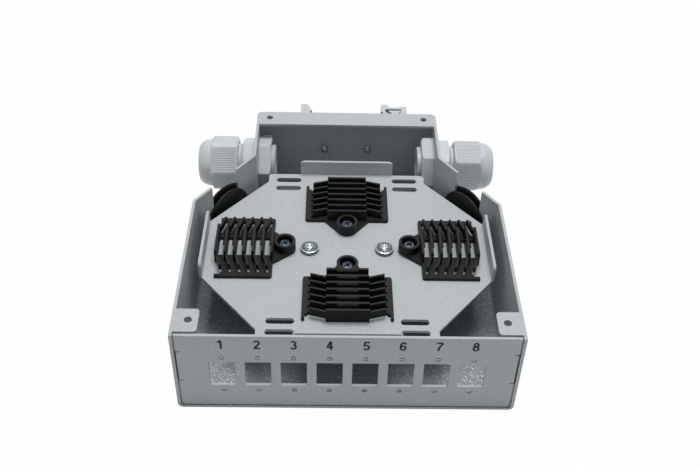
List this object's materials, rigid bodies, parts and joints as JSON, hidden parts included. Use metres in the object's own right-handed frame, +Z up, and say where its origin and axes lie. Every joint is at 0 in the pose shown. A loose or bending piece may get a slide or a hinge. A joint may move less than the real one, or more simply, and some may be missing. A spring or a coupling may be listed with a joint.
{
  "type": "rail mounted fibre splice box",
  "caption": "Open steel fibre splice box with a front port panel, a splice tray with moulded holders, side cable glands and a clip for a mounting rail, lid off.",
  "frame": {"origin": "middle of the base's underside", "axes": "+X to the right seen from the ports, +Y to the rear wall and clip, +Z up out of the open top"},
  "size_m": [0.1378, 0.1581, 0.0402],
  "materials": {
    "grey_paint": "fine powder coat",
    "zinc_steel": "zinc plated",
    "dark_steel": "dark plated",
    "black_plastic": "moulded",
    "black_rubber": "matt",
    "seal_rubber": "matt",
    "grey_plastic": "satin",
    "clip_plastic": "satin"
  },
  "bodies": {
    "housing": {"housing_shell": "grey_paint", "front_panel": "grey_paint", "splice_tray": "grey_paint", "tray_standoff_left": "zinc_steel", "tray_screw_left": "zinc_steel", "cable_grommet_left": "black_rubber", "gland_body_left": "grey_plastic", "gland_lock_nut_left": "grey_plastic", "gland_seal_left": "seal_rubber", "rail_clip_screw_left": "dark_steel", "tray_standoff_right": "zinc_steel", "tray_screw_right": "zinc_steel", "cable_grommet_right": "black_rubber", "gland_body_right": "grey_plastic", "gland_lock_nut_right": "grey_plastic", "gland_seal_right": "seal_rubber", "rail_clip_screw_right": "dark_steel", "splice_holder_front": "black_plastic", "holder_screw_front": "dark_steel", "splice_holder_rear": "black_plastic", "holder_screw_rear": "dark_steel", "splice_holder_left": "black_plastic", "holder_screw_left": "dark_steel", "splice_holder_right": "black_plastic", "holder_screw_right": "dark_steel", "rail_clip_base": "clip_plastic"},
    "gland_nut_left": {"gland_dome_nut_left": "grey_plastic"},
    "gland_nut_right": {"gland_dome_nut_right": "grey_plastic"},
    "rail_latch": {"rail_clip_latch": "clip_plastic"}
  },
  "joints": [
    {"name": "gland_nut_left_turn", "type": "hinge", "parent": "housing", "child": "gland_nut_left", "pos_m": [-0.0505, 0.056, 0.022], "axis": [-1, 0, 0], "range_deg": [-180, 180]},
    {"name": "gland_nut_right_turn", "type": "hinge", "parent": "housing", "child": "gland_nut_right", "pos_m": [0.0505, 0.056, 0.022], "axis": [1, 0, 0], "range_deg": [-180, 180]},
    {"name": "rail_latch_slide", "type": "slide", "parent": "housing", "child": "rail_latch", "axis": [1, 0, 0], "range_m": [0, 0.0016], "stiffness_N_per_m": 800, "springref_m": -0.0008}
  ]
}
